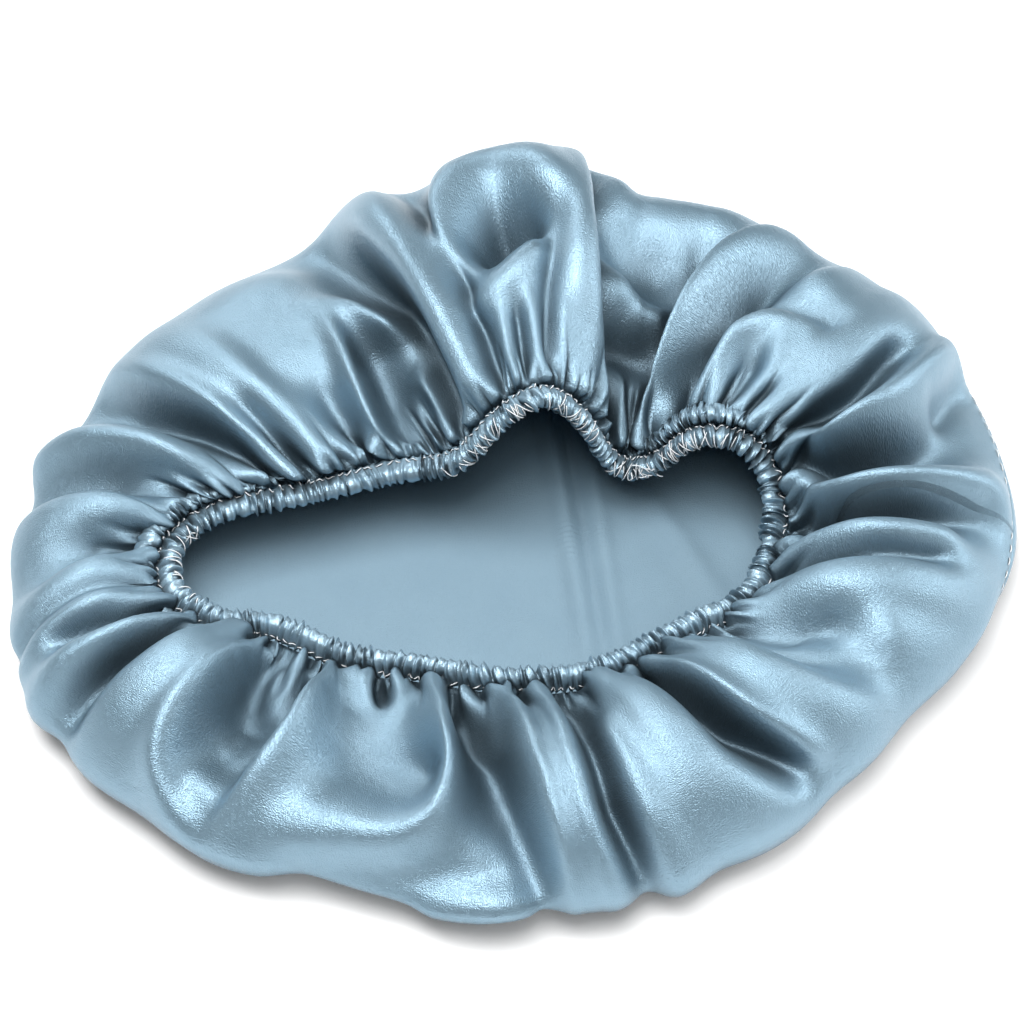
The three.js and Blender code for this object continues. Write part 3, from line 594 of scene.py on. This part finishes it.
def ruched_tube(rng, centre, axes, run, width, depth, pinch):
    """A tube of cloth with a pucker every few mm. pinch is how flat it is along its stitched side."""
    along, across, through = axes
    phase, height = puckers(rng, run, PUCKER_PITCH)
    turn = np.arange(CASING_ROWS) * 2 * math.pi / CASING_ROWS
    a, t = np.cos(turn), np.sin(turn)
    free = 1 - pinch * (1 - smoothstep(a, -0.9, 0.3))
    marks = np.linspace(0, run[-1], 60)
    slant = np.interp(run, marks, rng.uniform(-0.55, 0.55, 60))
    side = np.interp(run, marks, rng.uniform(-1, 1, 60))
    wave = phase[:, None] + slant[:, None] * a[None]
    own = np.floor(phase).astype(int)
    strong_side = rng.uniform(0, 2 * math.pi, own.max() + 1)[own]
    uneven = 1 + 0.5 * np.cos(turn[None] - strong_side[:, None])
    ridge = np.abs(np.sin(wave * math.pi)) ** 0.8 - 0.65
    ridge = ridge + 0.18 * np.sin(wave * 3.4 * math.pi + 3 * a[None])
    lift = ridge * height[:, None] * PUCKER_DEPTH * uneven * (0.5 + 0.5 * free)[None]
    wide = width[:, None] / 2 * a[None] + lift * a[None] + 0.4 * side[:, None] * free[None]
    deep = depth[:, None] / 2 * free[None] * t[None] + lift * t[None]
    shift = 0.3 * np.sin(wave * 2 * math.pi + 0.8) * height[:, None]
    return (centre[:, None] + across[:, None] * wide[..., None] + through[:, None] * deep[..., None]
            + along[:, None] * shift[..., None])


def casing_points():
    """The turned hem: round at its free edge, pinched flat along the stitching, and ruched all the way."""
    rng = np.random.default_rng(11)
    _, centre, axes, run = casing_line(CASING_COLUMNS)
    width, depth = np.full(CASING_COLUMNS, CASING_WIDTH), np.full(CASING_COLUMNS, CASING_DEPTH)
    return ruched_tube(rng, centre, axes, run[:-1], width, depth, 0.6)


def roll_points(first, last):
    """A second ruched row beside the casing, thinning out at its two ends."""
    rng = np.random.default_rng(int(first * 10))
    place = np.linspace(first, last, ROLL_COLUMNS)
    axes = casing_axes(place)
    _, across, through = axes
    swell = np.sin(np.linspace(0, math.pi, ROLL_COLUMNS)) ** 0.5
    swell = np.maximum(swell, 0.03)[:, None]
    centre = around(CASING_LINE, place) - across * (CASING_WIDTH + ROLL_WIDTH) / 2 * (0.5 + 0.5 * swell)
    centre = centre + through * np.sign(through[:, 2:3]) * ROLL_RISE * swell
    steps = np.linalg.norm(np.diff(centre, axis=0), axis=1)
    run = np.concatenate([[0], np.cumsum(steps)])
    return ruched_tube(rng, centre, axes, run, ROLL_WIDTH * swell[:, 0], ROLL_DEPTH * swell[:, 0], 0.2)


def tube_faces(columns, rows):
    """Quads of a closed ring of closed sections, facing out."""
    c, r = np.meshgrid(np.arange(columns), np.arange(rows), indexing="ij")
    here, next_ = c * rows, (c + 1) % columns * rows
    turned = (r + 1) % rows
    return np.stack([here + r, next_ + r, next_ + turned, here + turned], -1).reshape(-1, 4).tolist()


def make_casing():
    rows = CASING_ROWS
    points = [casing_points().reshape(-1, 3)]
    faces = tube_faces(CASING_COLUMNS, rows)
    cloth_mm = [flat_places(CASING_COLUMNS, rows, SKIRT_LENGTH, CASING_GIRTH)]
    last_ring = (ROLL_COLUMNS - 1) * rows
    for first, last in ROLLS:
        start = sum(len(part) for part in points)
        points.append(roll_points(first, last).reshape(-1, 3))
        cloth_mm.append(flat_places(ROLL_COLUMNS, rows, ROLL_LENGTH, ROLL_GIRTH))
        open_tube = tube_faces(ROLL_COLUMNS, rows)[:last_ring]
        faces += [[start + corner for corner in face] for face in open_tube]
        faces.append([start + r for r in range(rows)])
        faces.append([start + last_ring + r for r in range(rows)][::-1])
    return mesh_object("casing", np.concatenate(points), faces, [RUCHED], np.concatenate(cloth_mm))


def threads_object(name, strands, radius, material, sides=6):
    """Several strands of thread as one mesh of thin tubes."""
    vertices, faces = [], []
    turn = np.arange(sides) * 2 * math.pi / sides
    for strand in strands:
        strand = np.asarray(strand, float)
        tangent = unit(np.gradient(strand, axis=0))
        side = unit(np.cross(tangent, UP + 0.3 * tangent[:, ::-1]))
        up = np.cross(side, tangent)
        taper = np.ones(len(strand))
        taper[[0, -1]] = 0.5
        ring = side[:, None] * np.cos(turn)[None, :, None] + up[:, None] * np.sin(turn)[None, :, None]
        first = len(vertices)
        vertices.extend((strand[:, None] + ring * radius * taper[:, None, None]).reshape(-1, 3))
        last = first + (len(strand) - 1) * sides
        for here in range(first, last, sides):
            for j in range(sides):
                k = (j + 1) % sides
                faces.append([here + j, here + k, here + sides + k, here + sides + j])
        faces.append([first + j for j in range(sides)][::-1])
        faces.append([last + j for j in range(sides)])
    return mesh_object(name, vertices, faces, [material])


def wandering(rng, start, heading, length, bends, count=14):
    """A thread from a point, turning a little at random as it goes."""
    points = [start]
    for _ in range(count - 1):
        heading = unit(heading + rng.normal(size=3) * bends)
        points.append(points[-1] + heading * length / (count - 1))
    points = np.array(points)
    for _ in range(2):
        points[1:-1] = (points[:-2] + 2 * points[1:-1] + points[2:]) / 4
    return points


def column_at(station):
    return int(station / COUNT * CASING_COLUMNS)


def casing_stitches(rng, across, through, length):
    """One stitch between each two puckers."""
    skin = casing_points()
    arch = np.sin(np.linspace(0, math.pi, 7))[:, None]
    strands = []
    step = int(CASING_COLUMNS * STITCH_PITCH / length)
    for start in range(0, CASING_COLUMNS, step):
        middle = start + rng.integers(-2, 3)
        spread = int(step * rng.uniform(0.3, 0.46))
        ids = (middle + np.linspace(-spread, spread, 7).astype(int)) % CASING_COLUMNS
        slide = across[ids] * (rng.uniform(-0.7, 0.7) * np.linspace(-1, 1, 7)[:, None])
        strands.append(skin[ids, STITCH_ROW] + through[ids] * (0.4 * arch + 0.05) + slide)
    return strands


def overlock_loops(rng, centre, along, across, through):
    """Loops of thread over the casing's free edge."""
    strands = []
    for first, last, count in FRAYS:
        for place in rng.uniform(first, last, count):
            i = column_at(place)
            sweep = np.linspace(rng.uniform(-0.9, -0.2), rng.uniform(0.6, 1.7), 9)
            lean = np.linspace(-1, 1, 9) * rng.uniform(-2.2, 2.2)
            puff = 1 + 0.22 * rng.random()
            strands.append(centre[i] + across[i] * (np.cos(sweep) * CASING_WIDTH / 2 * puff)[:, None]
                           + through[i] * (np.sin(sweep) * CASING_DEPTH / 2 * (puff + 0.2))[:, None]
                           + along[i] * lean[:, None])
    return strands


def seam_stitches():
    """A running stitch beside the crown's seam, where the seam faces up."""
    place = np.arange(*SEAM_SHOWS, 0.01)
    seam = profiles(place, around(SEAMS, place) - SEAM_MARGIN)[:, 0]
    outward = unit(seam * [1, 1, 0.4])
    arch = np.sin(np.linspace(0, math.pi, 8))[:, None]
    return [seam[i:i + 8] + outward[i:i + 8] * (0.3 * arch) for i in range(0, len(place) - 8, 12)]


def make_stitching():
    """Pale stitches along the casing and the seam, and the overlock threads at the casing's free edge."""
    rng = np.random.default_rng(5)
    _, centre, (along, across, through), run = casing_line(CASING_COLUMNS)
    through = through * np.sign(through[:, 2:3])
    strands = casing_stitches(rng, across, through, run[-1])
    strands += overlock_loops(rng, centre, along, across, through)
    for _ in range(TANGLE_ENDS):
        i = column_at(TANGLE_AT + rng.uniform(-0.3, 0.3))
        start = centre[i] + across[i] * CASING_WIDTH * 0.45
        heading = across[i] * 0.6 + along[i] * rng.uniform(-1, 1) + through[i] * rng.uniform(0, 0.8)
        strands.append(wandering(rng, start, heading, rng.uniform(5, 11), 0.5))
    strands += seam_stitches()
    i = column_at(LOOSE_END_AT)
    start = centre[i] + across[i] * CASING_WIDTH * 0.4
    strands.append(wandering(rng, start, across[i] * 0.5 + through[i], 9, 0.25))
    return threads_object("stitching", strands, THREAD_RADIUS, THREAD)


def crease_height(points):
    """The creases' height at each point. Each runs along a curve from its first place over its second to its
    last, and fades at both ends."""
    height = np.zeros(points.shape[:-1])
    for x0, y0, x1, y1, x2, y2, high, width in CREASES:
        f = np.linspace(0, 1, 60)[:, None]
        pull = 2 * np.array([x1, y1]) - np.array([x0 + x2, y0 + y2]) / 2
        line = (1 - f) ** 2 * [x0, y0] + 2 * f * (1 - f) * pull + f**2 * [x2, y2]
        gap = points[..., None, :2] - line
        squares = (gap**2).sum(-1)
        nearest = squares.argmin(-1)
        fade = np.sin(np.clip(nearest / 59, 0.02, 0.98) * math.pi) ** 0.3
        height += high * np.exp(-squares.min(-1) / (2 * width**2)) * fade
    return height


def make_crown():
    place = np.arange(CROWN_COLUMNS) * COUNT / CROWN_COLUMNS
    seam = around(SEAMS, place)
    shares = seam + (1 - seam) * np.linspace(0, 1, CROWN_ROWS)
    turned = profiles(place, shares)
    edge = turned[:, -1:]
    rings = edge * np.linspace(*CROWN_RINGS_SPAN, CROWN_RINGS)[None, :, None]
    rings[..., 2] = FLOOR_GAP + CREASE_DEPTH + crease_height(rings)
    grid = np.concatenate([turned, rings], 1)
    grid[..., 2] = np.maximum(grid[..., 2], FLOOR_GAP)
    rows = grid.shape[1]
    faces = ring_faces(CROWN_COLUMNS, rows)
    faces.append([c * rows + rows - 1 for c in range(CROWN_COLUMNS)][::-1])
    flat = grid.reshape(-1, 3)[:, :2]
    piece = mesh_object("crown", grid.reshape(-1, 3), faces, [SATIN, REVERSE], flat)
    thicken(piece)
    return piece


def make_stage():
    bpy.ops.mesh.primitive_plane_add(size=6, location=(0, 0, -0.0005))
    floor = bpy.context.object
    floor.name = "floor"
    material, _, _, shader = node_material("floor")
    shader.inputs["Base Color"].default_value = (0.92, 0.92, 0.92, 1)
    shader.inputs["Roughness"].default_value = 0.9
    shader.inputs["Specular IOR Level"].default_value = 0
    shader.inputs["Emission Color"].default_value = (1, 1, 1, 1)
    shader.inputs["Emission Strength"].default_value = 0.15
    floor.data.materials.append(material)


def aim(thing, target):
    thing.rotation_euler = (Vector(target) - thing.location).to_track_quat("-Z", "Y").to_euler()


def make_camera():
    data = bpy.data.cameras.new("camera")
    data.lens = 100
    data.sensor_width = 36
    camera = bpy.data.objects.new("camera", data)
    bpy.context.scene.collection.objects.link(camera)
    elevation = math.radians(CAMERA_ELEVATION)
    back = Vector((0, -math.cos(elevation), math.sin(elevation)))
    camera.location = CAMERA_TARGET + CAMERA_DISTANCE * back
    aim(camera, CAMERA_TARGET)
    bpy.context.scene.camera = camera


def area_light(name, location, target, size, power, glossy=True):
    data = bpy.data.lights.new(name, "AREA")
    data.shape = "RECTANGLE"
    data.size, data.size_y = size
    data.energy = power
    lamp = bpy.data.objects.new(name, data)
    bpy.context.scene.collection.objects.link(lamp)
    lamp.location = location
    lamp.visible_glossy = glossy
    aim(lamp, target)


def make_lights():
    """A pale studio, darker towards the front, with one big soft box overhead, smaller ones to the right and
    behind, and a lamp that lights the inside without showing in the satin."""
    world = bpy.data.worlds.new("studio")
    bpy.context.scene.world = world
    world.use_nodes = True
    nodes, links = world.node_tree.nodes, world.node_tree.links
    where = nodes.new("ShaderNodeTexCoord")
    towards = nodes.new("ShaderNodeVectorMath")
    towards.operation = "DOT_PRODUCT"
    towards.inputs[1].default_value = (-0.1, 0.25, 0.96)
    links.new(where.outputs["Generated"], towards.inputs[0])
    strength = ranged(nodes, links, towards.outputs["Value"], 0.12, 0.72, (-0.1, 0.9))
    links.new(strength, nodes["Background"].inputs["Strength"])
    area_light("overhead", (-0.2, -0.15, 1.2), (0, 0, 0.02), (1.1, 0.7), 21)
    area_light("right", (1.0, 0.15, 0.55), (0.1, 0, 0.02), (0.4, 0.5), 6)
    area_light("back", (-0.5, 1.0, 0.6), (0, 0, 0.02), (0.5, 0.2), 4)
    area_light("inside", (0.1, -0.65, 0.95), (0, 0, 0.02), (0.5, 0.4), 2.6, glossy=False)
    bpy.context.scene.view_settings.view_transform = "Standard"


make_camera()
make_stage()
make_lights()
skirt = make_skirt()
casing = make_casing()
crown = make_crown()
stitching = make_stitching()
for piece in (skirt, casing, crown, stitching):
    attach(piece, "root")
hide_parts("skirt_panel")
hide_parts("elastic_casing", "elastic_band")
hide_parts("crown_panel")
